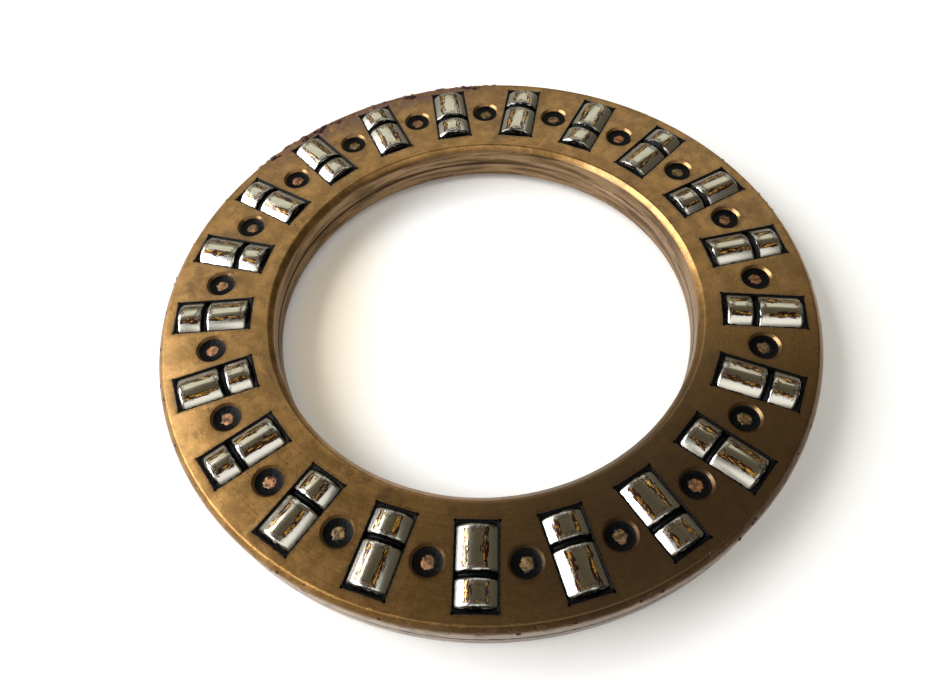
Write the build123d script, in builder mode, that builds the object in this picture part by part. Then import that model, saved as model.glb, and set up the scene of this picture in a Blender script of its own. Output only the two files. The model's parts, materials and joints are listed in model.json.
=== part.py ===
from build123d import *

import os
from math import cos, radians, sin, sqrt

# Cage and roller assembly of a cylindrical roller thrust bearing. A bronze cage in two halves,
# riveted together, carries two rollers of unequal length in each pocket.
#
# Millimetres. +Z is the bearing's axis. The origin is the centre of the bore, in the plane where
# the two halves meet, and the axes of all the rollers lie in that plane too. The pockets are
# numbered counterclockwise as seen from +Z, with the first and the last on either side of -Y.

# Shaft and washers that the assembly works with
shaft_diameter = 100.0
shaft_clearance = 0.15  # radial

# Rollers
roller_diameter = 13.0
long_roller_length = 10.1
short_roller_length = 6.3
roller_corner_radius = 1.0
roller_stands_proud = 1.3  # past each face of the cage

# Pockets
pocket_count = 21
seat_clearance = 0.15  # radial, between a roller and the round seat around it
window_clearance = 0.55  # each side, between a roller and the edge of its window in the face
roller_end_play = 0.65  # between a roller and the end wall of its pocket
roller_gap = 0.6  # between the two rollers of a pocket
corner_relief_radius = 0.35

# Cage
inner_land = 5.3  # bronze between the bore and the pockets
outer_land = 3.75  # bronze between the pockets and the rim
face_chamfer = 1.35
joint_chamfer = 0.35  # where the halves meet, at the bore and at the rim

# Rivets
rivet_diameter = 3.0
rivet_hole_clearance = 0.05  # radial
rivet_recess_depth = 2.0
rivet_recess_wall = 0.8  # thinnest bronze between a recess and the seats beside it
rivet_recess_flare = 0.65
rivet_head_height = 1.0
rivet_head_edge = 0.35
rivet_head_clearance = 0.2  # between a head and the wall of its recess
rivet_head_taper = 0.9  # from the edge of a formed head to its flat top, on the radius

# Cage sizes that follow
bore_radius = shaft_diameter / 2 + shaft_clearance
roller_radius = roller_diameter / 2
half_thickness = roller_radius - roller_stands_proud
pocket_length = long_roller_length + short_roller_length + roller_gap + 2 * roller_end_play
pocket_inner_radius = bore_radius + inner_land
pocket_outer_radius = pocket_inner_radius + pocket_length
pitch_radius = (pocket_inner_radius + pocket_outer_radius) / 2
rim_radius = pocket_outer_radius + outer_land
pocket_pitch = 360 / pocket_count
first_rivet_angle = -90
first_pocket_angle = first_rivet_angle + pocket_pitch / 2

# Pocket sizes that follow
seat_radius = roller_radius + seat_clearance
window_width = 2 * (sqrt(roller_radius**2 - half_thickness**2) + window_clearance)
cutter_height = 2 * roller_diameter

# Rivet sizes that follow: a recess takes the width that the seats on both sides leave to it
recess_floor = half_thickness - rivet_recess_depth
seat_width_at_floor = sqrt(seat_radius**2 - recess_floor**2)
rivet_to_pocket_axis = pitch_radius * sin(radians(pocket_pitch / 2))
recess_radius = rivet_to_pocket_axis - seat_width_at_floor - rivet_recess_wall
rivet_radius = rivet_diameter / 2
rivet_hole_radius = rivet_radius + rivet_hole_clearance
rivet_head_radius = recess_radius - rivet_head_clearance
rivet_head_top_radius = rivet_head_radius - rivet_head_taper
rivet_head_top = recess_floor + rivet_head_height

same_radius = 0.01  # how nearly two circles match when the mouths of the recesses are picked out

os.makedirs("parts", exist_ok=True)


# ---------------------------------------------------------------- cage
with BuildPart() as cage_upper:
    with BuildSketch(Plane.XZ):
        with BuildLine():
            Polyline(
                (bore_radius + joint_chamfer, 0),
                (rim_radius - joint_chamfer, 0),
                (rim_radius, joint_chamfer),
                (rim_radius, half_thickness - face_chamfer),
                (rim_radius - face_chamfer, half_thickness),
                (bore_radius + face_chamfer, half_thickness),
                (bore_radius, half_thickness - face_chamfer),
                (bore_radius, joint_chamfer),
                close=True,
            )
        make_face()
    revolve(axis=Axis.Z)

    # Round seats for the rollers, open at the face through a narrower window that holds them in
    with PolarLocations(pitch_radius, pocket_count, start_angle=first_pocket_angle):
        Cylinder(seat_radius, pocket_length, rotation=(0, 90, 0), mode=Mode.SUBTRACT)
        Box(pocket_length, window_width, cutter_height, mode=Mode.SUBTRACT)
        with GridLocations(pocket_length, window_width, 2, 2):
            Cylinder(corner_relief_radius, cutter_height, mode=Mode.SUBTRACT)

    # Flared recess and through hole for a rivet in each bridge between two pockets
    with Locations(Plane.XY.offset(half_thickness)):
        with PolarLocations(pitch_radius, pocket_count, start_angle=first_rivet_angle):
            CounterBoreHole(rivet_hole_radius, recess_radius, rivet_recess_depth)
    face_circles = cage_upper.edges().filter_by(GeomType.CIRCLE).group_by(Axis.Z)[-1]
    recess_mouths = face_circles.filter_by(lambda edge: abs(edge.radius - recess_radius) < same_radius)
    chamfer(recess_mouths, rivet_recess_flare)
cage_upper.part.label = "cage_upper"
export_step(cage_upper.part, "parts/cage_upper.step")

with BuildPart() as cage_lower:
    mirror(cage_upper.part, about=Plane.XY)
cage_lower.part.label = "cage_lower"
export_step(cage_lower.part, "parts/cage_lower.step")


# ---------------------------------------------------------------- rivets
# The lower head is the domed one that a rivet is supplied with, and the upper is formed in place
with BuildPart() as single_rivet:
    with BuildSketch(Plane.XZ):
        with BuildLine():
            domed_head = TangentArc(
                (0, -rivet_head_top), (rivet_head_radius, -recess_floor), tangent=(1, 0)
            )
            Polyline(
                domed_head @ 1,
                (rivet_radius, -recess_floor),
                (rivet_radius, recess_floor),
                (rivet_head_radius, recess_floor),
                (rivet_head_radius, recess_floor + rivet_head_edge),
                (rivet_head_top_radius, rivet_head_top),
                (0, rivet_head_top),
                domed_head @ 0,
            )
        make_face()
    revolve(axis=Axis.Z)

with BuildPart() as cage_rivets:
    with PolarLocations(pitch_radius, pocket_count, start_angle=first_rivet_angle):
        add(single_rivet.part)
cage_rivets.part.label = "cage_rivets"
export_step(cage_rivets.part, "parts/cage_rivets.step")


# ---------------------------------------------------------------- rollers
def export_roller(name, length, centre_radius, angle):
    """A cylinder with rounded ends, whose axis lies along the radius at this angle."""
    outward = Vector(cos(radians(angle)), sin(radians(angle)), 0)
    axis_plane = Plane(origin=outward * centre_radius, x_dir=(0, 0, 1), z_dir=outward)
    with BuildPart(axis_plane) as roller:
        Cylinder(roller_radius, length)
        fillet(roller.edges().filter_by(GeomType.CIRCLE), roller_corner_radius)
    roller.part.label = name
    export_step(roller.part, f"parts/{name}.step")


# The long roller is the outer one in every second pocket, so that the gaps between the rollers
# run on two circles. The number of pockets is odd, so the first and the last are alike.
for pocket in range(1, pocket_count + 1):
    long_roller_outside = pocket % 2 == 1
    inner_length = short_roller_length if long_roller_outside else long_roller_length
    outer_length = long_roller_length if long_roller_outside else short_roller_length
    inner_centre = pocket_inner_radius + roller_end_play + inner_length / 2
    outer_centre = pocket_outer_radius - roller_end_play - outer_length / 2
    long_centre = outer_centre if long_roller_outside else inner_centre
    short_centre = inner_centre if long_roller_outside else outer_centre
    angle = first_pocket_angle + (pocket - 1) * pocket_pitch
    export_roller(f"long_roller_{pocket:02d}", long_roller_length, long_centre, angle)
    export_roller(f"short_roller_{pocket:02d}", short_roller_length, short_centre, angle)

print(f"bore {2 * bore_radius:.3f}  rim {2 * rim_radius:.3f}  cage thickness {2 * half_thickness:.3f}")
print(f"pitch circle {2 * pitch_radius:.3f}  pocket {pocket_length:.3f} x {window_width:.3f}")
print(f"rivet recess {2 * recess_radius:.3f}  rivet head {2 * rivet_head_radius:.3f}")
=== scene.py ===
import json
import math
import random

import bmesh
import bpy
from mathutils import Matrix, Vector, noise


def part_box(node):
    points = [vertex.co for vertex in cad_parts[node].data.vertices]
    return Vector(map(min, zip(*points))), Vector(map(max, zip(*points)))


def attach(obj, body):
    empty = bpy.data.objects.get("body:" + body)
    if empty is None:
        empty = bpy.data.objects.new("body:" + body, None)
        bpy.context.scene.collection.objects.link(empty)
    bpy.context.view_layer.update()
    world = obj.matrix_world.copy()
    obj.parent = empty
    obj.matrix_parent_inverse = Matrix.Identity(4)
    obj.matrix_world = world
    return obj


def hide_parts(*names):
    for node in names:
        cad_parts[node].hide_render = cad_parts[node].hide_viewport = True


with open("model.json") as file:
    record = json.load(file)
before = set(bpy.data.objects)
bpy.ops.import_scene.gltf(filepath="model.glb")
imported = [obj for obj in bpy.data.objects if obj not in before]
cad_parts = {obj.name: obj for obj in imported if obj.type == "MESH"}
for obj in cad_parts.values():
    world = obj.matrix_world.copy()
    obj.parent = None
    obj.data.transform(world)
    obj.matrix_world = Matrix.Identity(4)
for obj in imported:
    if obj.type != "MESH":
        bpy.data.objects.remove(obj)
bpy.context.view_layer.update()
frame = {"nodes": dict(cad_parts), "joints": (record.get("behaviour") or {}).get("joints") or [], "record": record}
mounts = {m["name"]: m for m in frame["record"]["mounts"]}
joints = {j["child"]: j for j in frame["joints"]}
print("frame loaded:", len(frame["nodes"]), "nodes")

# Pieces are modelled in millimetres and shrunk to metres when they are finished
mm = 0.001
overcut = 1.0  # how far a cutter runs on past the metal
weldDistance = 0.003  # points nearer than this are joined
fineWeldDistance = 0.0005

# Sizes read from the frame, in millimetres
boreRadius = mounts["bore"]["dims"]["r_mm"]
rimRadius = mounts["rim"]["dims"]["r_mm"]
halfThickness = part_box("cage_upper")[1].z / mm
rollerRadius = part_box("long_roller_11")[1].z / mm
restHeight = -rollerRadius
pocketCount = sum(name.startswith("long_roller") for name in frame["nodes"])
pocketPitch = 2 * math.pi / pocketCount
firstRivetAngle = -math.pi / 2
firstPocketAngle = firstRivetAngle + pocketPitch / 2

# In the pieces' dictionaries sizes are in millimetres, and angles in degrees
cage = {
    "faceChamfer": 1.35,
    "jointChamfer": 0.35,
    "cornerSoftness": 0.3,
    "cornerSegments": 4,
    "innerLand": 5.3,
    "outerLand": 3.75,
    "seatClearance": 0.15,
    "windowWidth": 8.9,
    "edgeBreak": 0.13,
    "reliefRadius": 0.35,
    "reliefSegments": 20,
    "recessRadius": 3.0,
    "recessDepth": 2.0,
    "recessFlare": 0.65,
    "holeRadius": 1.55,
    "stepsPerPocket": 48,
    "seatSegments": 64,
    "recessSegments": 48,
    "nickDepth": 0.3,
    "nickFineness": 0.9,
    "nickThreshold": 0.42,
    "nickFade": 2.4,
    "nickBand": 0.7,
    "nickSeed": 4.0,
}
pocketInner = boreRadius + cage["innerLand"]
pocketOuter = rimRadius - cage["outerLand"]
pocketLength = pocketOuter - pocketInner
pitchRadius = (pocketInner + pocketOuter) / 2
recessFloor = halfThickness - cage["recessDepth"]


def finishPiece(bm, name, body, replaced, sharpAngle=28):
    # Turns a bmesh in millimetres into a piece in metres that rides on a CAD body
    bmesh.ops.scale(bm, vec=(mm, mm, mm), verts=bm.verts)
    sharp = math.radians(sharpAngle)
    for face in bm.faces:
        face.smooth = True
    for edge in bm.edges:
        edge.smooth = not (edge.is_manifold and edge.calc_face_angle(0) > sharp)
    mesh = bpy.data.meshes.new(name)
    bm.to_mesh(mesh)
    bm.free()
    piece = bpy.data.objects.new(name, mesh)
    bpy.context.scene.collection.objects.link(piece)
    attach(piece, body)
    if replaced:
        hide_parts(*replaced)
    return piece


def scratchObject(bm, name):
    mesh = bpy.data.meshes.new(name)
    bm.to_mesh(mesh)
    bm.free()
    made = bpy.data.objects.new(name, mesh)
    bpy.context.scene.collection.objects.link(made)
    return made


def vertsOf(made):
    return [v for v in made["geom"] if isinstance(v, bmesh.types.BMVert)]


def madeSince(bm, before):
    return [v for v in bm.verts if v not in before]


def turnRound(bm, outline, segments):
    # Turns an outline of radii and heights once round Z, and gives back the new points
    before = set(bm.verts)
    verts = [bm.verts.new((r, 0, z)) for r, z in outline]
    edges = [bm.edges.new(pair) for pair in zip(verts, verts[1:])]
    bmesh.ops.spin(bm, geom=verts + edges, cent=(0, 0, 0), axis=(0, 0, 1), angle=2 * math.pi,
                   steps=segments, use_merge=True)
    return madeSince(bm, before)


def standAt(bm, verts, angle, distance=0.0):
    # Moves points made round the origin out along X, and then round the ring
    place = Matrix.Rotation(angle, 4, "Z") @ Matrix.Translation((distance, 0, 0))
    bmesh.ops.transform(bm, matrix=place, verts=verts)


def cutAway(solid, cutter):
    # Takes one closed mesh away from another
    cut = solid.modifiers.new("cut", "BOOLEAN")
    cut.operation = "DIFFERENCE"
    cut.solver = "EXACT"
    cut.object = cutter
    evaluated = solid.evaluated_get(bpy.context.evaluated_depsgraph_get())
    result = bpy.data.meshes.new_from_object(evaluated)
    solid.modifiers.clear()
    solid.data = result
    bpy.data.objects.remove(cutter)


def flaredPrism(bm, outline, bottom, top, flareStart):
    # A straight-sided cutter whose top spreads at 45 degrees, so that the cut's edge is broken
    face = bm.faces.new([bm.verts.new((x, y, bottom)) for x, y in outline])
    walls = bmesh.ops.extrude_face_region(bm, geom=[face])
    raised = vertsOf(walls)
    bmesh.ops.translate(bm, verts=raised, vec=(0, 0, flareStart - bottom))
    lip = [f for f in walls["geom"] if isinstance(f, bmesh.types.BMFace)]
    centre = sum((v.co for v in raised), Vector()) / len(raised)
    spread = bmesh.ops.extrude_face_region(bm, geom=lip)
    bmesh.ops.delete(bm, geom=lip, context="FACES_ONLY")
    rise = top - flareStart
    for v in vertsOf(spread):
        out = v.co - centre
        v.co.x += math.copysign(rise, out.x)
        v.co.y += math.copysign(rise, out.y)
        v.co.z = top
    bmesh.ops.recalc_face_normals(bm, faces=bm.faces)


def sectorOfCage():
    # One pocket's share of the turned ring, closed at both ends
    soft, face, split = cage["cornerSoftness"], cage["faceChamfer"], cage["jointChamfer"]
    outline = [
        (boreRadius + split, 0),
        (rimRadius - split, 0),
        (rimRadius, split),
        (rimRadius, halfThickness - face),
        (rimRadius - face, halfThickness),
        (boreRadius + face, halfThickness),
        (boreRadius, halfThickness - face),
        (boreRadius, split),
    ]
    bm = bmesh.new()
    corners = [bm.verts.new((r, 0, z)) for r, z in outline]
    bm.faces.new(corners)
    bmesh.ops.bevel(bm, geom=corners[3:7], affect="VERTICES", offset=soft,
                    segments=cage["cornerSegments"], profile=0.5, material=-1)
    bmesh.ops.rotate(bm, verts=bm.verts, cent=(0, 0, 0), matrix=Matrix.Rotation(-pocketPitch / 2, 3, "Z"))
    bmesh.ops.spin(bm, geom=bm.verts[:] + bm.edges[:] + bm.faces[:], cent=(0, 0, 0), axis=(0, 0, 1),
                   angle=pocketPitch, steps=cage["stepsPerPocket"], use_merge=False)
    bmesh.ops.recalc_face_normals(bm, faces=bm.faces)
    return scratchObject(bm, "cageSector")


def windowCutter():
    halfLength, halfWidth = pocketLength / 2, cage["windowWidth"] / 2
    bm = bmesh.new()
    outline = [(pitchRadius + x * halfLength, y * halfWidth) for x, y in ((-1, -1), (1, -1), (1, 1), (-1, 1))]
    broken = cage["edgeBreak"]
    flaredPrism(bm, outline, -overcut, halfThickness + broken, halfThickness - broken)
    return scratchObject(bm, "windowCutter")


def reliefCutter():
    # A small round hole at each corner of the window
    bm = bmesh.new()
    for x in (-1, 1):
        for y in (-1, 1):
            corner = (pitchRadius + x * pocketLength / 2, y * cage["windowWidth"] / 2, halfThickness / 2)
            bmesh.ops.create_cone(bm, cap_ends=True, segments=cage["reliefSegments"],
                                  radius1=cage["reliefRadius"], radius2=cage["reliefRadius"],
                                  depth=halfThickness + 2 * overcut, matrix=Matrix.Translation(corner))
    return scratchObject(bm, "reliefCutter")


def seatCutter():
    bm = bmesh.new()
    radius = rollerRadius + cage["seatClearance"]
    lying = Matrix.Translation((pitchRadius, 0, 0)) @ Matrix.Rotation(math.pi / 2, 4, "Y")
    bmesh.ops.create_cone(bm, cap_ends=True, segments=cage["seatSegments"], radius1=radius, radius2=radius,
                          depth=pocketLength, matrix=lying)
    return scratchObject(bm, "seatCutter")


def rivetCutter():
    # The recess, its flared mouth and the through hole, turned as one outline at each end of the sector
    recess, flare, hole = cage["recessRadius"], cage["recessFlare"], cage["holeRadius"]
    above = 0.2  # the mouth's slope runs on this far over the face
    outline = [
        (0, -overcut), (hole, -overcut), (hole, recessFloor), (recess, recessFloor),
        (recess, halfThickness - flare), (recess + flare + above, halfThickness + above),
        (recess + flare + above, halfThickness + overcut), (0, halfThickness + overcut),
    ]
    bm = bmesh.new()
    for side in (-1, 1):
        standAt(bm, turnRound(bm, outline, cage["recessSegments"]), side * pocketPitch / 2, pitchRadius)
    bmesh.ops.remove_doubles(bm, verts=bm.verts, dist=fineWeldDistance)
    bmesh.ops.recalc_face_normals(bm, faces=bm.faces)
    return scratchObject(bm, "rivetCutter")


def nick(co, side):
    # How far a point near an outer edge of the rim is knocked in, in millimetres
    radius = math.hypot(co.x, co.y)
    if radius < rimRadius - cage["faceChamfer"] - cage["nickBand"]:
        return 0.0
    fromRim = min(abs(radius - rimRadius), 2.0)
    seed = Vector((cage["nickSeed"] * side, 7.0, 1.0))
    patch = max(0.0, noise.noise(co * 0.16 + seed))
    small = noise.noise(co * cage["nickFineness"] + seed) + 0.6 * noise.noise(co * 2.1 - seed)
    depth = max(0.0, small - cage["nickThreshold"]) * (0.35 + patch * 1.6)
    return cage["nickDepth"] * depth * (1 - fromRim / cage["nickFade"])


def joinSplitSeams(bm):
    # Where one side of a seam has a corner that the other lacks, the other's edge is split there
    onLine, atEnd = 0.002, 0.001
    openEdges = [e for e in bm.edges if e.is_boundary]
    corners = {v for e in openEdges for v in e.verts}
    for edge in openEdges:
        start, end = edge.verts
        along = end.co - start.co
        for v in corners - set(edge.verts):
            share = (v.co - start.co).dot(along) / along.length_squared
            if atEnd < share < 1 - atEnd and (start.co + along * share - v.co).length < onLine:
                bmesh.utils.edge_split(edge, start, share)
                break
    bmesh.ops.remove_doubles(bm, verts=bm.verts, dist=weldDistance)


def isSectorEnd(face):
    # Whether a face is one of the two flat cuts that close the sector
    angles = [abs(math.atan2(v.co.y, v.co.x)) for v in face.verts]
    return all(abs(angle - pocketPitch / 2) < 1e-5 for angle in angles) and abs(face.normal.z) < 0.01


def buildCageHalf(name, node, side):
    sector = sectorOfCage()
    for cutter in (windowCutter(), reliefCutter(), seatCutter(), rivetCutter()):
        cutAway(sector, cutter)
    bm = bmesh.new()
    bm.from_mesh(sector.data)
    bpy.data.objects.remove(sector)
    ends = [face for face in bm.faces if isSectorEnd(face)]
    bmesh.ops.delete(bm, geom=ends, context="FACES_KEEP_BOUNDARY")
    bmesh.ops.rotate(bm, verts=bm.verts, cent=(0, 0, 0), matrix=Matrix.Rotation(firstPocketAngle, 3, "Z"))
    original = bm.verts[:] + bm.edges[:] + bm.faces[:]
    for turn in range(1, pocketCount):
        verts = vertsOf(bmesh.ops.duplicate(bm, geom=original))
        bmesh.ops.rotate(bm, verts=verts, cent=(0, 0, 0), matrix=Matrix.Rotation(turn * pocketPitch, 3, "Z"))
    bmesh.ops.remove_doubles(bm, verts=bm.verts, dist=weldDistance)
    joinSplitSeams(bm)
    if side < 0:
        bmesh.ops.scale(bm, vec=(1, 1, -1), verts=bm.verts)
        bmesh.ops.reverse_faces(bm, faces=bm.faces)
    onSeam = 0.01
    for v in bm.verts:
        depth = nick(v.co, side)
        if depth > 0 and abs(v.co.z) > onSeam:
            flat = Vector((v.co.x, v.co.y, 0)).normalized()
            v.co -= flat * depth + Vector((0, 0, side * depth * 0.5))
    openEdges = sum(not e.is_manifold for e in bm.edges)
    print(name, "faces", len(bm.faces), "open edges", openEdges)
    return finishPiece(bm, name, "cage", [node])


cageTop = buildCageHalf("cageTopHalf", "cage_upper", 1)
cageBottom = buildCageHalf("cageBottomHalf", "cage_lower", -1)


roller = {
    "cornerRadius": 1.0,
    "cornerSegments": 8,
    "segments": 96,
    "endDish": 0.08,
    "endDishRadius": 4.2,
    "endDishSlope": 0.4,
    "seedRange": 60,
}


def rollerLength(kind):
    # Roller 11 lies along Y
    low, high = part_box(f"{kind}_roller_11")
    return (high.y - low.y) / mm


def buildRoller(node):
    kind, _, number = node.split("_")
    joint = joints[node]
    outward = Vector(joint["axis"]).normalized()
    centre = Vector(joint["pos_m"]) / mm
    length = rollerLength(kind)
    bm = bmesh.new()
    bmesh.ops.create_cone(bm, cap_ends=True, segments=roller["segments"], radius1=rollerRadius,
                          radius2=rollerRadius, depth=length)
    rings = [e for e in bm.edges if abs(e.verts[0].co.z - e.verts[1].co.z) < 1e-6]
    bmesh.ops.bevel(bm, geom=rings, affect="EDGES", offset=roller["cornerRadius"],
                    segments=roller["cornerSegments"], profile=0.5, material=-1)
    ends = [f for f in bm.faces if len(f.verts) == roller["segments"]]
    land = rollerRadius - roller["cornerRadius"] - roller["endDishRadius"]
    for end in ends:
        bmesh.ops.inset_region(bm, faces=[end], thickness=land, depth=0)
        bmesh.ops.inset_region(bm, faces=[end], thickness=roller["endDishSlope"], depth=-roller["endDish"])
    # Local place on the roller, in millimetres, so that a pattern turns with it
    places = bm.verts.layers.float_vector.new("rollerPlace")
    seeds = bm.verts.layers.float.new("rollerSeed")
    halves = bm.verts.layers.float.new("rollerHalf")
    seed = random.Random(node).uniform(0, roller["seedRange"])
    for v in bm.verts:
        v[places] = (v.co.y, v.co.z, v.co.x)
        v[seeds] = seed
        v[halves] = length / 2
    # The roller is made upright: its X turns to the ring's Z, and its Z to the radius outwards
    across = Vector((0, 0, 1)).cross(outward)
    stand = Matrix(((0, across.x, outward.x), (0, across.y, outward.y), (1, 0, 0)))
    bmesh.ops.transform(bm, matrix=Matrix.Translation(centre) @ stand.to_4x4(), verts=bm.verts)
    bmesh.ops.recalc_face_normals(bm, faces=bm.faces)
    return finishPiece(bm, f"{kind}Roller{number}", node, [node])


rollers = [buildRoller(node) for node in sorted(joints)]
print("rollers:", len(rollers))


rivet = {
    "headRadius": 2.8,
    "headEdge": 0.35,
    "headHeight": 1.0,
    "headTaper": 0.9,
    "headCrown": 0.02,
    "shankRadius": 1.5,
    "segments": 48,
    "domeSteps": 8,
    "lumpDepth": 0.16,
    "lumpFineness": 0.8,
    "wander": 0.001,
}


def rivetOutline():
    # A domed head below and a formed one above, as radii and heights from the middle outwards
    head, shank = rivet["headRadius"], rivet["shankRadius"]
    top = recessFloor + rivet["headHeight"]
    crown = top + rivet["headCrown"]
    formed = [
        (shank, 0), (shank, recessFloor), (head, recessFloor), (head, recessFloor + rivet["headEdge"]),
        (head - rivet["headTaper"], top), (head * 0.3, crown), (0, crown),
    ]
    dome = head ** 2 / (2 * rivet["headHeight"]) + rivet["headHeight"] / 2
    spread = math.asin(head / dome)
    steps = rivet["domeSteps"]
    domed = [(dome * math.sin(a), -(top - dome + dome * math.cos(a)))
             for a in (spread * k / steps for k in range(steps + 1))]
    domed[0] = (0, -top)
    return domed + [(shank, -recessFloor)] + formed


def buildRivets():
    outline = rivetOutline()
    bm = bmesh.new()
    for number in range(pocketCount):
        shuffle = random.Random(number)
        made = turnRound(bm, outline, rivet["segments"])
        for v in made:
            if abs(v.co.z) > recessFloor + 0.2:
                lump = noise.noise(Vector((v.co.x, v.co.y, number * 9.1)) * rivet["lumpFineness"])
                v.co.z += math.copysign(rivet["lumpDepth"] * lump, v.co.z)
        stray = shuffle.uniform(-rivet["wander"], rivet["wander"])
        standAt(bm, made, firstRivetAngle + number * pocketPitch + stray, pitchRadius)
    bmesh.ops.remove_doubles(bm, verts=bm.verts, dist=fineWeldDistance)
    bmesh.ops.recalc_face_normals(bm, faces=bm.faces)
    return finishPiece(bm, "rivetHeads", "cage", ["cage_rivets"], sharpAngle=40)


rivets = buildRivets()
print("rivets made")


oil = {
    "skin": 0.03,
    "clearance": 0.05,
    "creep": 0.10,
    "sideReach": 0.26,
    "endReach": 0.95,
    "gapReach": 0.45,
    "sideWander": 0.16,
    "wander": 0.32,
    "leastWander": 0.35,
    "corner": 0.45,
    "cornerGrowth": 0.3,
    "sag": 0.35,
    "lipRise": 0.05,
    "steps": 120,
    "rows": 8,
    "gapSteps": 30,
    "gapRows": 8,
    "gapMargin": 0.25,
    "gapDepth": 0.8,
    "recessReach": 1.5,
    "recessOverlap": 0.12,
    "recessBank": 0.35,
    "recessWander": 0.45,
    "recessSteps": 80,
    "recessRows": 6,
    "weldDistance": 0.002,
}


def rollersIn(pocket):
    # The middle and the half length of each roller in a pocket, along its radius
    pair = []
    for kind in ("short", "long"):
        middle = Vector(joints[f"{kind}_roller_{pocket:02d}"]["pos_m"]).length / mm
        pair.append((middle, rollerLength(kind) / 2))
    return pair


def rollerHeight(u, v, pair):
    # Height of the rollers' upper surface at a place in their pocket, and 0 between them
    corner = roller["cornerRadius"]
    height = 0.0
    for middle, half in pair:
        pastStraight = abs(u - middle) - (half - corner)
        if pastStraight < corner:
            radius = rollerRadius - corner + math.sqrt(corner ** 2 - max(pastStraight, 0) ** 2)
            height = max(height, math.sqrt(max(radius ** 2 - v ** 2, 0)))
    return height


def roundedOutline(share, halfU, halfV, corner):
    # The point at a share of the way round a rectangle with rounded corners
    arc = corner * math.pi / 2
    straightU, straightV = halfU - corner, halfV - corner
    lengths = [2 * straightV, arc, 2 * straightU, arc] * 2
    along = share * sum(lengths) * 0.999999  # just under a whole turn, so that it ends on the last arc
    number = 0
    while along > lengths[number]:
        along -= lengths[number]
        number += 1
    side, onArc = divmod(number, 2)
    turn = side * math.pi / 2
    centres = [Vector((x * straightU, y * straightV)) for x, y in ((1, 1), (-1, 1), (-1, -1), (1, -1))]
    centre = centres[side]
    if onArc:
        turn += along / corner
    else:
        centre = centres[side - 1].lerp(centre, along / lengths[number])
    return centre + corner * Vector((math.cos(turn), math.sin(turn)))


def wobble(x, y, seed):
    return noise.noise(Vector((x * 0.7, y * 0.7, seed))) + 0.6 * noise.noise(Vector((x * 1.9, y * 1.9, seed)))


def oilEdge(inward, reach, stray):
    # How far in from the window's edge the oil lies, from the first row to the last
    return -oil["creep"] + (oil["creep"] + reach) * inward + stray


def oilGrid(bm, steps, rows):
    return bmesh.ops.create_grid(bm, x_segments=steps, y_segments=rows, size=1)["verts"]


def oilRoundWindow(bm, pocket, seed):
    # Oil that stands in the clearance round the rollers and climbs a little way up them
    pair = rollersIn(pocket)
    halfU, halfV, corner = pocketLength / 2, cage["windowWidth"] / 2, oil["corner"]
    least = oil["leastWander"]
    for v in oilGrid(bm, oil["steps"], oil["rows"]):
        share, inward = (v.co.x + 1) / 2, (v.co.y + 1) / 2
        edge = roundedOutline(share, halfU, halfV, corner)
        stray = wobble(edge.x, edge.y, seed)
        spread = least + (1 - least) * inward
        sideIn = oilEdge(inward, oil["sideReach"], stray * oil["sideWander"] * spread)
        endIn = oilEdge(inward, oil["endReach"], stray * oil["wander"] * spread)
        place = roundedOutline(share, halfU - endIn, halfV - sideIn, corner + oil["cornerGrowth"] * inward)
        sag = halfThickness + oil["clearance"] - oil["sag"] * math.sin(math.pi * min(max(sideIn, 0), 1))
        onRoller = rollerHeight(pitchRadius + place.x, place.y, pair) + oil["clearance"]
        lip = halfThickness + oil["skin"] + oil["lipRise"] * inward
        v.co = (pitchRadius + place.x, place.y, max(lip if sideIn < 0 else sag, onRoller))


def oilBetweenRollers(bm, pocket, seed):
    # Oil that fills the gap between the two rollers
    pair = sorted(rollersIn(pocket))
    gapStart, gapEnd = pair[0][0] + pair[0][1], pair[1][0] - pair[1][1]
    middle, half = (gapStart + gapEnd) / 2, (gapEnd - gapStart) / 2
    for v in oilGrid(bm, oil["gapSteps"], oil["gapRows"]):
        across = v.co.x * (cage["windowWidth"] / 2 - oil["gapMargin"])
        reach = half + oil["gapReach"] + wobble(across, middle + v.co.y, seed + 3) * oil["wander"]
        u = middle + v.co.y * reach
        onRoller = rollerHeight(u, across, pair) + oil["clearance"]
        inGap = math.sqrt(rollerRadius ** 2 - across ** 2) - oil["gapDepth"]
        v.co = (u, across, max(onRoller, inGap))


def oilInRecess(bm, seed):
    # A ring of oil round the worn middle of a rivet's head
    outer = cage["recessRadius"] + oil["recessOverlap"]
    top = recessFloor + rivet["headHeight"] + oil["recessOverlap"]
    for v in oilGrid(bm, oil["recessSteps"], oil["recessRows"]):
        angle, inward = math.pi * v.co.x, (v.co.y + 1) / 2
        x, y = math.cos(angle), math.sin(angle)
        stray = wobble(2.5 * x, 2.5 * y, seed) * oil["recessWander"]
        stray += wobble(7 * x, 7 * y, seed) * 0.12
        radius = outer + (oil["recessReach"] + stray - outer) * inward
        height = top + oil["recessBank"] * (1 - inward) ** 3 + 0.05 * math.sin(math.pi * inward)
        v.co = (radius * x, radius * y, height)


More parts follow.
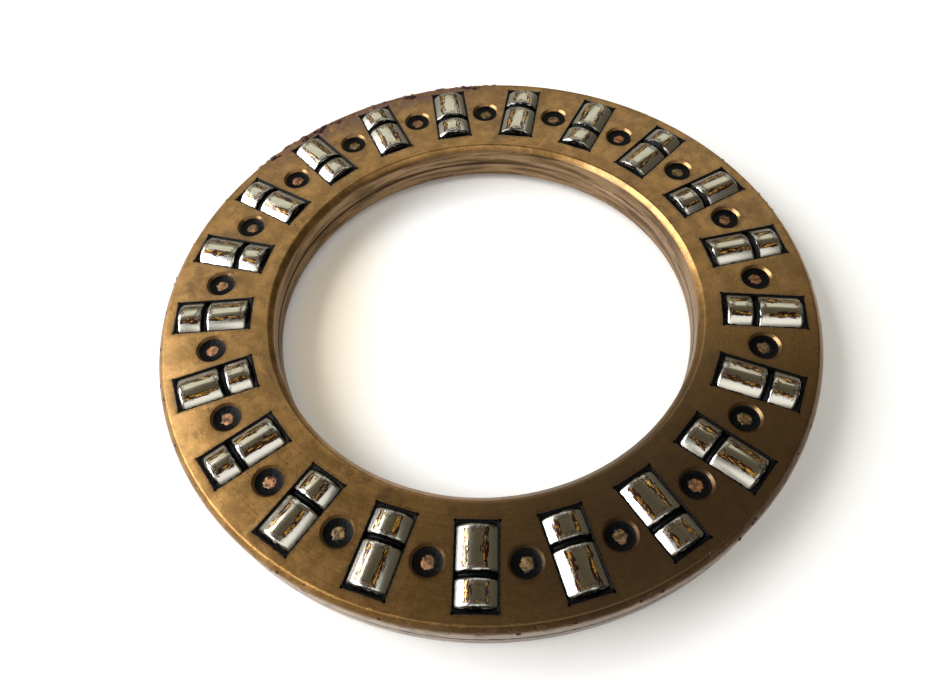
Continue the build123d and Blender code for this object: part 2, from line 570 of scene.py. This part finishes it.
def buildOil(name, side):
    bm = bmesh.new()
    for number in range(pocketCount):
        seed = 10 * number + 300 * side
        before = set(bm.verts)
        oilRoundWindow(bm, number + 1, seed)
        oilBetweenRollers(bm, number + 1, seed)
        standAt(bm, madeSince(bm, before), firstPocketAngle + number * pocketPitch)
        before = set(bm.verts)
        oilInRecess(bm, seed)
        standAt(bm, madeSince(bm, before), firstRivetAngle + number * pocketPitch, pitchRadius)
    bmesh.ops.remove_doubles(bm, verts=bm.verts, dist=oil["weldDistance"])
    bmesh.ops.dissolve_degenerate(bm, edges=bm.edges, dist=oil["weldDistance"] / 2)
    for face in bm.faces:
        face.normal_update()
        if face.normal.z < 0:
            face.normal_flip()
    bmesh.ops.solidify(bm, geom=bm.faces[:], thickness=oil["skin"])
    if side < 0:
        bmesh.ops.scale(bm, vec=(1, 1, -1), verts=bm.verts)
    bmesh.ops.recalc_face_normals(bm, faces=bm.faces)
    return finishPiece(bm, name, "cage", [], sharpAngle=70)


oilPieces = [buildOil("blackOilTop", 1), buildOil("blackOilBottom", -1)]
print("oil made")

grease = {
    "lumps": 80,
    "strayLumps": 40,
    "firstAngle": 112,
    "lastAngle": 170,
    "smallest": 0.3,
    "largest": 1.0,
    "strayLargest": 0.4,
    "drops": (0.0, 0.3, 0.7, 1.0),
    "ontoFace": 1.2,
    "sink": 0.35,
    "roughness": 0.35,
    "stretch": (1.0, 1.5, 0.7),
    "seed": 8,
}


def buildGrease():
    # Dried lumps along the outer edge, most of them on one stretch of it
    chance = random.Random(grease["seed"])
    chamfer = cage["faceChamfer"]
    bm = bmesh.new()
    for number in range(grease["lumps"] + grease["strayLumps"]):
        gathered = number < grease["lumps"]
        first, last = (grease["firstAngle"], grease["lastAngle"]) if gathered else (0, 360)
        angle = math.radians(chance.uniform(first, last))
        size = chance.uniform(grease["smallest"], grease["largest"] if gathered else grease["strayLargest"])
        drop = chance.choice(grease["drops"]) if gathered else chance.uniform(0.2, 1.0)
        onFace = chance.uniform(0, grease["ontoFace"]) if drop == 0 else 0
        radius = rimRadius - chamfer * (1 - drop) - grease["sink"] * size - onFace
        height = halfThickness - chamfer * drop - grease["sink"] * size
        lump = bmesh.ops.create_icosphere(bm, subdivisions=2, radius=size)["verts"]
        for v in lump:
            swell = noise.noise(v.co * (1.3 / size) + Vector((number * 3.1, 0, 0)))
            v.co *= 1 + grease["roughness"] * swell
        bmesh.ops.scale(bm, vec=grease["stretch"], verts=lump)
        bmesh.ops.translate(bm, verts=lump, vec=(0, 0, height))
        standAt(bm, lump, angle, radius)
    bmesh.ops.recalc_face_normals(bm, faces=bm.faces)
    return finishPiece(bm, "driedGrease", "cage", [], sharpAngle=80)


greasePiece = buildGrease()
print("grease made")


def feed(tree, socket, value):
    # Links a socket to another, or sets it to a fixed value
    if isinstance(value, bpy.types.NodeSocket):
        tree.links.new(value, socket)
    else:
        socket.default_value = value


def addNode(tree, kind, inputs=None, **settings):
    made = tree.nodes.new("ShaderNode" + kind)
    for name, value in settings.items():
        setattr(made, name, value)
    for name, value in (inputs or {}).items():
        feed(tree, made.inputs[name], value)
    return made


def calc(tree, operation, a, b=0.0):
    return addNode(tree, "Math", {0: a, 1: b}, operation=operation).outputs[0]


def plus(tree, a, b):
    return calc(tree, "ADD", a, b)


def minus(tree, a, b):
    return calc(tree, "SUBTRACT", a, b)


def times(tree, a, b):
    return calc(tree, "MULTIPLY", a, b)


def lengthOf(tree, a, b):
    # Distance over two sides at right angles
    return calc(tree, "SQRT", plus(tree, times(tree, a, a), times(tree, b, b)))


def fromHalf(tree, value, amount):
    # How far a 0 to 1 pattern is from its middle, times an amount
    return times(tree, minus(tree, value, 0.5), amount)


def pastRectangle(tree, pastEnd, pastSide):
    # Distance outside a rectangle's edge, rounded at its corners, and below 0 inside it
    outside = lengthOf(tree, calc(tree, "MAXIMUM", pastEnd, 0.0), calc(tree, "MAXIMUM", pastSide, 0.0))
    return plus(tree, outside, calc(tree, "MINIMUM", calc(tree, "MAXIMUM", pastEnd, pastSide), 0.0))


def stretched(tree, vector, factors):
    return addNode(tree, "VectorMath", {0: vector, 1: factors}, operation="MULTIPLY").outputs[0]


def noiseOf(tree, vector, scale, detail=4.0, roughness=0.55, distortion=0.0):
    made = addNode(tree, "TexNoise", {"Vector": vector, "Scale": scale, "Detail": detail,
                                      "Roughness": roughness, "Distortion": distortion})
    return made.outputs["Fac"]


def ramp(tree, value, low, high):
    # 0 below low and 1 above high, or the other way round where low is the larger
    made = addNode(tree, "MapRange", {"Value": value, "From Min": low, "From Max": high},
                   interpolation_type="SMOOTHSTEP")
    return made.outputs["Result"]


def mixColor(tree, factor, a, b):
    return addNode(tree, "Mix", {0: factor, 6: a, 7: b}, data_type="RGBA").outputs[2]


def mixValue(tree, factor, a, b):
    return addNode(tree, "Mix", {0: factor, 2: a, 3: b}, data_type="FLOAT").outputs[0]


def bumpOf(tree, height, strength):
    return addNode(tree, "Bump", {"Height": height, "Distance": mm, "Strength": strength}).outputs[0]


def newGroup(name, inputs, outputs):
    group = bpy.data.node_groups.new(name, "ShaderNodeTree")
    for label, kind, value in inputs:
        socket = group.interface.new_socket(label, in_out="INPUT", socket_type="NodeSocket" + kind)
        if value is not None:
            socket.default_value = value
    for label, kind in outputs:
        group.interface.new_socket(label, in_out="OUTPUT", socket_type="NodeSocket" + kind)
    return group, group.nodes.new("NodeGroupInput").outputs, group.nodes.new("NodeGroupOutput").inputs


def useGroup(tree, group, inputs=None):
    made = tree.nodes.new("ShaderNodeGroup")
    made.node_tree = group
    for name, value in (inputs or {}).items():
        feed(tree, made.inputs[name], value)
    return made.outputs


def ringPlaceGroup():
    # Where a point of the cage is, in millimetres: radius, height, distance from window edge and rivet
    t, _, put = newGroup("ringPlace", [], [("Point", "Vector"), ("Radius", "Float"), ("Height", "Float"),
                                           ("Window", "Float"), ("Rivet", "Float")])
    place = addNode(t, "TexCoord").outputs["Object"]
    point = addNode(t, "VectorMath", {0: place, "Scale": 1 / mm}, operation="SCALE").outputs[0]
    parts = addNode(t, "SeparateXYZ", {0: point}).outputs
    radius = lengthOf(t, parts[0], parts[1])
    angle = calc(t, "ARCTAN2", parts[1], parts[0])
    fromRivet = calc(t, "PINGPONG", minus(t, angle, firstRivetAngle - 4 * math.pi), pocketPitch / 2)
    fromPocket = minus(t, pocketPitch / 2, fromRivet)
    along = calc(t, "ABSOLUTE", minus(t, times(t, radius, calc(t, "COSINE", fromPocket)), pitchRadius))
    across = times(t, radius, calc(t, "SINE", fromPocket))
    pastEnd = minus(t, along, pocketLength / 2)
    pastSide = minus(t, across, cage["windowWidth"] / 2)
    rivetAlong = minus(t, times(t, radius, calc(t, "COSINE", fromRivet)), pitchRadius)
    rivetAcross = times(t, radius, calc(t, "SINE", fromRivet))
    feed(t, put["Point"], point)
    feed(t, put["Radius"], radius)
    feed(t, put["Height"], parts[2])
    feed(t, put["Window"], pastRectangle(t, pastEnd, pastSide))
    feed(t, put["Rivet"], lengthOf(t, rivetAlong, rivetAcross))
    return t


def grimeGroup():
    # Blotches of old oil: large soft stains broken up by small ones, with fine dark specks
    t, given, put = newGroup("grime", [
        ("Point", "Vector", None), ("Stain Size", "Float", 9.0), ("Amount", "Float", 0.5),
        ("Speck Size", "Float", 0.4), ("Speck Amount", "Float", 0.5)],
        [("Stain", "Float"), ("Specks", "Float")])
    scale = calc(t, "DIVIDE", 1.0, given["Stain Size"])
    broad = noiseOf(t, given["Point"], scale, 5, 0.62, 0.6)
    fine = noiseOf(t, given["Point"], times(t, scale, 6.0), 5, 0.7)
    low = minus(t, 0.82, times(t, given["Amount"], 0.6))
    feed(t, put["Stain"], ramp(t, plus(t, broad, fromHalf(t, fine, 0.5)), low, plus(t, low, 0.22)))
    speckScale = calc(t, "DIVIDE", 0.35, given["Speck Size"])
    cells = addNode(t, "TexVoronoi", {"Vector": given["Point"], "Scale": speckScale}).outputs
    present = noiseOf(t, cells["Position"], 0.31, 1)
    few = ramp(t, present, minus(t, 0.78, times(t, given["Speck Amount"], 0.4)), 0.8)
    dot = ramp(t, plus(t, cells["Distance"], times(t, fine, 0.25)), 0.3, 0.2)
    feed(t, put["Specks"], times(t, dot, few))
    return t


def blackOilAndShadeGroup():
    # Black oil that fills the recesses and creeps a little way onto the faces around them, plus painted shade deep
    # in the pockets
    t, given, put = newGroup("blackOil", [
        ("Point", "Vector", None), ("Height", "Float", 0.0), ("Window", "Float", 0.0),
        ("Rivet", "Float", 0.0), ("Radius", "Float", 0.0)], [("Oil And Shade", "Float"), ("Edge Film And Shade", "Float")])
    stray = minus(t, noiseOf(t, given["Point"], 1.1, 4, 0.6), 0.5)
    window = plus(t, given["Window"], times(t, stray, 0.5))
    rivetEdge = plus(t, given["Rivet"], times(t, stray, 0.9))
    depth = minus(t, halfThickness, calc(t, "ABSOLUTE", given["Height"]))
    offPitch = calc(t, "ABSOLUTE", minus(t, given["Radius"], pitchRadius))
    withinBand = calc(t, "LESS_THAN", offPitch, pocketLength / 2 + 0.8)
    inPocket = times(t, ramp(t, window, 0.30, 0.12), withinBand)
    overRecess = ramp(t, rivetEdge, cage["recessRadius"] + 0.22, cage["recessRadius"] - 0.05)
    inRecess = times(t, overRecess, ramp(t, depth, 0.35, 0.7))
    # Painted shade: more than about a millimetre below the face, within the pockets' band, the cage is painted
    # black
    paintedPocketShade = times(t, times(t, withinBand, ramp(t, depth, 0.9, 1.2)), ramp(t, depth, 0.1, 0.3))
    feed(t, put["Oil And Shade"], calc(t, "MAXIMUM", calc(t, "MAXIMUM", inPocket, inRecess), paintedPocketShade))
    # A dark film round the windows is oil; the dark ring round each recess's mouth is painted shade
    feed(t, put["Edge Film And Shade"], calc(t, "MAXIMUM", ramp(t, window, 1.1, 0.15), ramp(t, rivetEdge, 4.6, 3.7)))
    return t


def newMaterial(name):
    material = bpy.data.materials.new(name)
    material.use_nodes = True
    tree = material.node_tree
    return material, tree, tree.nodes["Principled BSDF"]


def joinShader(tree, shader, values):
    for name, value in values.items():
        feed(tree, shader.inputs[name], value)


ringPlace = ringPlaceGroup()
grime = grimeGroup()
blackOil = blackOilAndShadeGroup()

bronze = {
    "light": (0.40, 0.220, 0.072, 1),
    "base": (0.235, 0.127, 0.037, 1),
    # Dark bronze for stains, also used for painted shade on the shaded side and the outer chamfer
    "dark": (0.088, 0.052, 0.027, 1),
    "rim": (0.46, 0.37, 0.29, 1),
    "bore": (0.32, 0.215, 0.125, 1),
    "boreDark": (0.075, 0.046, 0.026, 1),
    "smudge": (0.045, 0.028, 0.030, 1),
    # Near-black of oil, also used for painted shade deep in the pockets
    "oil": (0.005, 0.005, 0.006, 1),
    "speck": (0.03, 0.018, 0.01, 1),
    "stain": (0.10, 0.035, 0.030, 1),
    "stainMiddle": 141.0,
    "stainSpread": 34.0,
    # Middle of the painted shade's side, in degrees round the ring
    "shadedSideMiddle": -29.0,
    "turningPitch": 0.35,
    "roughness": (0.22, 0.38),
    "boreRoughness": 0.46,
    "wetRoughness": 0.12,
    "metallic": 0.9,
    "coat": 0.3,
    "bump": 0.7,
}


def bronzeMaterial():
    material, t, shader = newMaterial("oilStainedBronze")
    place = useGroup(t, ringPlace)
    point = place["Point"]
    dirt = useGroup(t, grime, {"Point": point, "Stain Size": 14.0, "Amount": 0.5, "Speck Size": 0.5,
                               "Speck Amount": 0.8})
    needed = ("Point", "Height", "Window", "Rivet", "Radius")
    oilAndShade = useGroup(t, blackOil, {name: place[name] for name in needed})
    parts = addNode(t, "SeparateXYZ", {0: point}).outputs
    azimuth = calc(t, "ARCTAN2", parts[1], parts[0])
    mottle = noiseOf(t, point, 0.22, 6, 0.66, 0.3)
    fine = noiseOf(t, point, 1.6, 6, 0.72)
    # Fine turning marks follow the radius
    marks = addNode(t, "CombineXYZ", {0: calc(t, "DIVIDE", place["Radius"], bronze["turningPitch"]),
                                      1: times(t, place["Height"], 1.4), 2: 0.0}).outputs[0]
    turning = noiseOf(t, marks, 1.0, 3, 0.6)
    blend = plus(t, plus(t, mottle, fromHalf(t, fine, 0.45)), fromHalf(t, turning, 0.14))
    color = mixColor(t, ramp(t, blend, 0.36, 0.68), bronze["base"], bronze["light"])
    color = mixColor(t, times(t, dirt["Stain"], 0.6), color, bronze["dark"])
    # Painted shade: one side of the ring, the side away from the light, is darkened
    offShadedSide = minus(t, azimuth, math.radians(bronze["shadedSideMiddle"]))
    toShadedSide = plus(t, calc(t, "COSINE", offShadedSide), fromHalf(t, mottle, 0.8))
    shadedSide = ramp(t, toShadedSide, 0.50, 1.08)
    color = mixColor(t, times(t, shadedSide, 0.86), color, bronze["dark"])
    onRim = ramp(t, place["Radius"], rimRadius - 0.5, rimRadius - 0.1)
    smudges = times(t, onRim, ramp(t, noiseOf(t, point, 0.33, 5, 0.7, 0.5), 0.47, 0.68))
    color = mixColor(t, times(t, onRim, 0.8), color, bronze["rim"])
    color = mixColor(t, times(t, smudges, 0.65), color, bronze["smudge"])
    inBore = ramp(t, place["Radius"], boreRadius + 0.5, boreRadius + 0.1)
    # The bore is stained in streaks that run round it
    roundBore = stretched(t, point, (0.06, 0.06, 0.75))
    streaks = ramp(t, noiseOf(t, roundBore, 1.0, 5, 0.62), 0.42, 0.62)
    bored = mixColor(t, streaks, bronze["bore"], bronze["boreDark"])
    color = mixColor(t, times(t, inBore, 0.8), color, bored)
    # The outer chamfer is dinged and a little dull with dirt; most of its darkening is painted shade, strongest on
    # the shaded side
    onEdge = ramp(t, calc(t, "ABSOLUTE", minus(t, place["Radius"], rimRadius - 0.75)), 1.1, 0.7)
    color = mixColor(t, times(t, onEdge, mixValue(t, shadedSide, 0.05, 0.6)), color, bronze["dark"])
    dings = useGroup(t, grime, {"Point": point, "Stain Size": 3.0, "Amount": 0.5, "Speck Size": 0.42,
                                "Speck Amount": 0.95})
    dinged = times(t, calc(t, "MAXIMUM", dings["Specks"], times(t, dings["Stain"], 0.4)), onEdge)
    # A reddish stain near one stretch of the rim
    offMiddle = calc(t, "ABSOLUTE", minus(t, azimuth, math.radians(bronze["stainMiddle"])))
    stained = times(t, ramp(t, offMiddle, math.radians(bronze["stainSpread"]), 0.25),
                    ramp(t, place["Radius"], pocketOuter - 6.5, pocketOuter + 0.8))
    patches = ramp(t, noiseOf(t, point, 0.38, 5, 0.68, 0.7), 0.60, 0.47)
    stained = times(t, times(t, stained, patches), ramp(t, place["Height"], 0.5, 4.0))
    color = mixColor(t, times(t, stained, 0.92), color, bronze["stain"])
    # Dirt gathers along the lower side of the seam and in the sharp outer edges; the darkening round the recesses'
    # mouths is painted shade
    seam = ramp(t, calc(t, "ABSOLUTE", place["Height"]), 0.5, 0.2)
    onWall = calc(t, "MAXIMUM", onRim, inBore)
    color = mixColor(t, times(t, times(t, seam, onWall), 0.85), color, bronze["smudge"])
    # Oil film at the windows' edges, and painted shade round the recesses' mouths
    color = mixColor(t, times(t, oilAndShade["Edge Film And Shade"], 0.3), color, bronze["dark"])
    color = mixColor(t, dirt["Specks"], color, bronze["speck"])
    # Black oil, and painted shade deep in the pockets
    color = mixColor(t, oilAndShade["Oil And Shade"], color, bronze["oil"])
    rough = mixValue(t, noiseOf(t, point, 0.9, 5, 0.65), *bronze["roughness"])
    rough = plus(t, rough, fromHalf(t, turning, 0.10))
    rough = mixValue(t, calc(t, "MAXIMUM", times(t, onEdge, 0.5), inBore), rough, bronze["boreRoughness"])
    rough = mixValue(t, stained, rough, 0.2)
    rough = mixValue(t, oilAndShade["Oil And Shade"], rough, bronze["wetRoughness"])
    height = times(t, turning, 0.008)
    height = plus(t, height, times(t, fine, 0.03))
    height = plus(t, height, times(t, stained, 0.04))
    height = minus(t, height, times(t, dirt["Specks"], 0.05))
    height = minus(t, height, times(t, dinged, 0.16))
    unpolished = calc(t, "MAXIMUM", oilAndShade["Oil And Shade"], times(t, stained, 0.7))
    onFace = minus(t, 1.0, calc(t, "MAXIMUM", onEdge, inBore))
    joinShader(t, shader, {
        "Base Color": color, "Roughness": rough, "Normal": bumpOf(t, height, bronze["bump"]),
        "Metallic": minus(t, bronze["metallic"], times(t, unpolished, bronze["metallic"])),
        "Coat Weight": times(t, onFace, bronze["coat"]), "Coat Roughness": 0.2})
    return material


steel = {
    "clean": (0.57, 0.56, 0.52, 1),
    "worn": (0.52, 0.47, 0.34, 1),
    "gold": (0.80, 0.42, 0.06, 1),
    "brown": (0.035, 0.010, 0.005, 1),
    "fleck": (0.16, 0.10, 0.04, 1),
    "film": (0.05, 0.045, 0.04, 1),
    "trackAngle": 17.0,
    "trackEnd": 1.35,
    "roughness": (0.24, 0.12),
    "streakRoughness": 0.16,
    "bump": 0.6,
}


def attributeOf(tree, name):
    return addNode(tree, "Attribute", attribute_name=name, attribute_type="GEOMETRY").outputs


def steelMaterial():
    material, t, shader = newMaterial("rollerSteel")
    place = attributeOf(t, "rollerPlace")["Vector"]
    seed = attributeOf(t, "rollerSeed")["Fac"]
    half = attributeOf(t, "rollerHalf")["Fac"]
    shift = addNode(t, "CombineXYZ", {0: seed, 1: times(t, seed, 0.7), 2: seed}).outputs[0]
    point = addNode(t, "VectorMath", {0: place, 1: shift}, operation="ADD").outputs[0]
    parts = addNode(t, "SeparateXYZ", {0: place}).outputs
    # Arc round the roller from its nearer crown, in millimetres
    arc = times(t, calc(t, "ARCTAN2", parts[0], calc(t, "ABSOLUTE", parts[2])), rollerRadius)
    lean = times(t, calc(t, "SINE", times(t, seed, 5.1)), 0.4)
    fromTrack = calc(t, "ABSOLUTE", minus(t, arc, lean))
    # Marks are drawn out along the roller
    drawn = stretched(t, point, (1.0, 0.27, 1.0))
    slow = minus(t, noiseOf(t, drawn, 0.6, 2, 0.5), 0.5)
    quick = minus(t, noiseOf(t, drawn, 3.2, 5, 0.7), 0.5)
    wander = plus(t, times(t, slow, 1.3), times(t, quick, 1.1))
    # Distance from the edge of the washer's contact, a rectangle with rounded corners
    halfTrack = rollerRadius * math.radians(steel["trackAngle"])
    pastSide = minus(t, fromTrack, halfTrack)
    pastEnd = minus(t, plus(t, calc(t, "ABSOLUTE", parts[1]), steel["trackEnd"]), half)
    past = plus(t, pastRectangle(t, pastSide, pastEnd), wander)
    offLine = calc(t, "ABSOLUTE", past)
    # The dried oil lies in broken lines where the contact ends, and less of it along the roller's ends
    alongEnd = ramp(t, minus(t, pastEnd, pastSide), -0.3, 0.3)
    breadth = mixValue(t, ramp(t, noiseOf(t, drawn, 0.9, 3, 0.62), 0.30, 0.64), 0.06, 0.85)
    breadth = times(t, breadth, minus(t, 1.0, times(t, alongEnd, 0.85)))
    streak = ramp(t, minus(t, offLine, breadth), 0.12, -0.04)
    thread = ramp(t, calc(t, "ABSOLUTE", minus(t, noiseOf(t, drawn, 2.6, 3, 0.6), 0.5)), 0.045, 0.012)
    streak = calc(t, "MAXIMUM", streak, times(t, thread, ramp(t, offLine, 0.9, 0.5)))
    core = ramp(t, minus(t, offLine, times(t, breadth, 0.5)), 0.05, -0.06)
    inTrack = ramp(t, past, 0.1, -0.25)
    flecks = times(t, ramp(t, noiseOf(t, drawn, 6.0, 4, 0.75), 0.58, 0.68), ramp(t, offLine, 1.3, 0.4))
    scratched = times(t, ramp(t, noiseOf(t, drawn, 1.6, 5, 0.6), 0.2, 0.7), inTrack)
    color = mixColor(t, times(t, scratched, 0.85), steel["clean"], steel["worn"])
    color = mixColor(t, times(t, flecks, 0.85), color, steel["fleck"])
    # A thin dark film of oil clings to the rounded ends
    fromEnd = minus(t, half, calc(t, "ABSOLUTE", parts[1]))
    film = ramp(t, plus(t, fromEnd, times(t, slow, 2.2)), 0.95, 0.35)
    color = mixColor(t, times(t, film, 0.75), color, steel["film"])
    glow = ramp(t, noiseOf(t, drawn, 2.4, 4, 0.7), 0.49, 0.57)
    driedOil = mixColor(t, times(t, core, glow), steel["brown"], steel["gold"])
    color = mixColor(t, streak, color, driedOil)
    rough = mixValue(t, inTrack, *steel["roughness"])
    rough = plus(t, rough, times(t, scratched, 0.05))
    rough = mixValue(t, streak, rough, steel["streakRoughness"])
    height = plus(t, times(t, core, 0.014), times(t, times(t, quick, inTrack), 0.004))
    joinShader(t, shader, {
        "Base Color": color, "Roughness": rough, "Normal": bumpOf(t, height, steel["bump"]),
        "Metallic": minus(t, 1.0, times(t, streak, 0.4)), "Coat Weight": core, "Coat Roughness": 0.06})
    return material


rivetFinish = {
    "copper": (0.46, 0.215, 0.11, 1),
    "brass": (0.30, 0.19, 0.09, 1),
    "oil": (0.008, 0.008, 0.009, 1),
    "wornRadius": 1.5,
    "roughness": (0.14, 0.45),
    "metallic": 0.9,
    "bump": 0.8,
}


def rivetMaterial():
    material, t, shader = newMaterial("formedRivets")
    place = useGroup(t, ringPlace)
    point = place["Point"]
    dirt = useGroup(t, grime, {"Point": point, "Stain Size": 1.1, "Amount": 0.68, "Speck Size": 0.22,
                               "Speck Amount": 1.2})
    reach = plus(t, place["Rivet"], fromHalf(t, noiseOf(t, point, 0.9, 4, 0.6), 1.5))
    worn = ramp(t, reach, rivetFinish["wornRadius"] + 0.1, rivetFinish["wornRadius"] - 0.3)
    high = ramp(t, calc(t, "ABSOLUTE", place["Height"]), recessFloor + 0.6, recessFloor + 0.85)
    worn = times(t, worn, high)
    tint = ramp(t, noiseOf(t, point, 0.05, 1), 0.42, 0.58)
    color = mixColor(t, tint, rivetFinish["copper"], rivetFinish["brass"])
    color = mixColor(t, times(t, dirt["Stain"], 0.8), color, rivetFinish["oil"])
    color = mixColor(t, dirt["Specks"], color, rivetFinish["oil"])
    color = mixColor(t, worn, rivetFinish["oil"], color)
    height = plus(t, times(t, noiseOf(t, point, 2.2, 5, 0.65), 0.12), times(t, worn, 0.03))
    joinShader(t, shader, {
        "Base Color": color, "Roughness": mixValue(t, worn, *rivetFinish["roughness"]),
        "Metallic": times(t, worn, rivetFinish["metallic"]),
        "Normal": bumpOf(t, height, rivetFinish["bump"])})
    return material


wetFinish = {
    "blackOil": {"dark": (0.0016, 0.0016, 0.002, 1), "tint": (0.02, 0.011, 0.005, 1), "tintFrom": 0.64,
                 "scale": 1.1, "lumpiness": 0.14},
    "driedGrease": {"dark": (0.025, 0.012, 0.016, 1), "tint": (0.10, 0.035, 0.030, 1), "tintFrom": 0.45,
                    "scale": 1.4, "lumpiness": 0.3},
}


def wetMaterial(name):
    # Oil or grease: a dark body, thin tinted patches and a glossy, slightly lumpy skin
    material, t, shader = newMaterial(name)
    look = wetFinish[name]
    scale, lumpiness = look["scale"], look["lumpiness"]
    point = useGroup(t, ringPlace)["Point"]
    patches = ramp(t, noiseOf(t, point, scale, 5, 0.65), look["tintFrom"], look["tintFrom"] + 0.14)
    grit = noiseOf(t, point, scale * 5, 4, 0.7)
    lumps = noiseOf(t, point, scale * 2.2, 4, 0.6)
    height = plus(t, times(t, lumps, lumpiness), times(t, grit, lumpiness * 0.3))
    joinShader(t, shader, {
        "Base Color": mixColor(t, patches, look["dark"], look["tint"]),
        "Roughness": mixValue(t, grit, 0.04, 0.16), "Specular IOR Level": 0.075,
        "Normal": bumpOf(t, height, 0.9)})
    return material


for material, pieces in (
    (bronzeMaterial(), [cageTop, cageBottom]),
    (steelMaterial(), rollers),
    (rivetMaterial(), [rivets]),
    (wetMaterial("blackOil"), oilPieces),
    (wetMaterial("driedGrease"), [greasePiece]),
):
    for piece in pieces:
        piece.data.materials.append(material)
print("materials made")


view = {
    "turn": 33.578,
    "elevation": 60.893,
    "roll": -6.95,
    "distance": 0.15902,
    "aim": (-0.00822, -0.02444),
    "lens": 27.02,
    "sensor": 36,
    "shift": (0.0073, 0.0540),
    "clip": (0.005, 20),
    "exposure": 0.15,
}


def turned(x, y, z):
    # A point given as seen from the camera's side of the table: x to the right, y away
    return Matrix.Rotation(math.radians(view["turn"]), 3, "Z") @ Vector((x, y, z))


def dotOf(tree, vector, direction):
    return addNode(tree, "VectorMath", {0: vector, 1: direction}, operation="DOT_PRODUCT").outputs["Value"]


table = {
    "size": 8.0,
    "color": (0.88, 0.88, 0.89, 1),
    "pale": (0.91, 0.91, 0.92, 1),
    "grain": 700,
    # Colour and reach of the painted warm shade on the table inside the ring
    "paintedWarmShade": (0.87, 0.76, 0.56, 1),
    "paintedShadeRadius": (0.052, 0.046),
    "paintedShadeSide": (-1, 0.1, 0),
    "paintedShadeReach": (0.018, 0.044),
    "roughness": 0.75,
    "gloss": 0.2,
    "glow": 0.14,
}


def buildTable():
    bm = bmesh.new()
    bmesh.ops.create_grid(bm, x_segments=1, y_segments=1, size=table["size"] / 2)
    bmesh.ops.translate(bm, verts=bm.verts, vec=(0, 0, restHeight * mm))
    floor = scratchObject(bm, "floor")
    material, t, shader = newMaterial("paleTable")
    place = addNode(t, "TexCoord").outputs["Object"]
    grain = noiseOf(t, place, table["grain"], 4, 0.6)
    pale = mixColor(t, ramp(t, grain, 0.3, 0.7), table["color"], table["pale"])
    # Painted shade: inside the ring, the table's colour is tinted warm on the side the ring shades, standing in
    # for the warmth the bronze throws there
    fromMiddle = addNode(t, "VectorMath", {0: place}, operation="LENGTH").outputs["Value"]
    toShade = dotOf(t, place, turned(*table["paintedShadeSide"]))
    paintedWarmShade = times(t, ramp(t, fromMiddle, *table["paintedShadeRadius"]), ramp(t, toShade, *table["paintedShadeReach"]))
    joinShader(t, shader, {
        "Base Color": mixColor(t, paintedWarmShade, pale, table["paintedWarmShade"]), "Roughness": table["roughness"],
        "Specular IOR Level": table["gloss"], "Emission Color": (1, 1, 1, 1),
        "Emission Strength": table["glow"]})
    floor.data.materials.append(material)


lights = {
    "windowLight": {"place": (-1.43, 0.20, 1.14), "size": (1.8, 1.0), "power": 42.0,
                    "color": (0.98, 0.99, 1.0)},
    "roomLight": {"place": (0.20, -0.93, 2.00), "size": (2.4, 1.1), "power": 10.5,
                  "color": (1.0, 0.98, 0.92)},
    "farWallLight": {"place": (-0.2, 1.75, 1.75), "size": (4.2, 1.1), "power": 10.5,
                     "color": (0.95, 0.99, 0.91)},
}


def softLight(name, place, size, power, color):
    # A soft rectangle of light that faces the middle of the ring
    data = bpy.data.lights.new(name, "AREA")
    data.shape = "RECTANGLE"
    data.size, data.size_y = size
    data.energy = power
    data.color = color
    light = bpy.data.objects.new(name, data)
    bpy.context.scene.collection.objects.link(light)
    light.visible_camera = False
    light.location = turned(*place)
    light.rotation_euler = (-light.location).to_track_quat("-Z", "Y").to_euler()


buildTable()
for name, given in lights.items():
    softLight(name, **given)

room = {
    "brightSide": (-0.75, 0.35, 0.15),
    "dark": (0.095, 0.080, 0.052, 1),
    "light": (0.33, 0.295, 0.225, 1),
    "backdrop": (0.72, 0.71, 0.69, 1),
}


def buildRoom():
    # A pale room, darker overhead and away from the window
    world = bpy.data.worlds.new("paleRoom")
    bpy.context.scene.world = world
    world.use_nodes = True
    t = world.node_tree
    direction = addNode(t, "TexCoord").outputs["Generated"]
    facing = dotOf(t, direction, turned(*room["brightSide"]).normalized())
    height = addNode(t, "SeparateXYZ", {0: direction}).outputs[2]
    shade = times(t, ramp(t, facing, -0.75, 0.85), ramp(t, height, 1.05, 0.5))
    color = mixColor(t, shade, room["dark"], room["light"])
    # The camera itself sees a plain pale backdrop
    seen = addNode(t, "LightPath").outputs["Is Camera Ray"]
    feed(t, t.nodes["Background"].inputs["Color"], mixColor(t, seen, color, room["backdrop"]))


def buildCamera():
    data = bpy.data.cameras.new("camera")
    data.lens, data.sensor_width = view["lens"], view["sensor"]
    data.shift_x, data.shift_y = view["shift"]
    data.clip_start, data.clip_end = view["clip"]
    camera = bpy.data.objects.new("camera", data)
    bpy.context.scene.collection.objects.link(camera)
    tilt = math.radians(view["elevation"])
    aimX, aimY = view["aim"]
    back, up = view["distance"] * math.cos(tilt), view["distance"] * math.sin(tilt)
    camera.location = turned(aimX, aimY - back, up)
    camera.rotation_euler = (
        Matrix.Rotation(math.radians(view["turn"]), 3, "Z")
        @ Matrix.Rotation(math.pi / 2 - tilt, 3, "X")
        @ Matrix.Rotation(math.radians(view["roll"]), 3, "Z")
    ).to_euler()
    return camera


buildRoom()
bpy.context.scene.camera = buildCamera()
bpy.context.scene.view_settings.view_transform = "Standard"
bpy.context.scene.view_settings.exposure = view["exposure"]
print("table, lights, room and camera made")
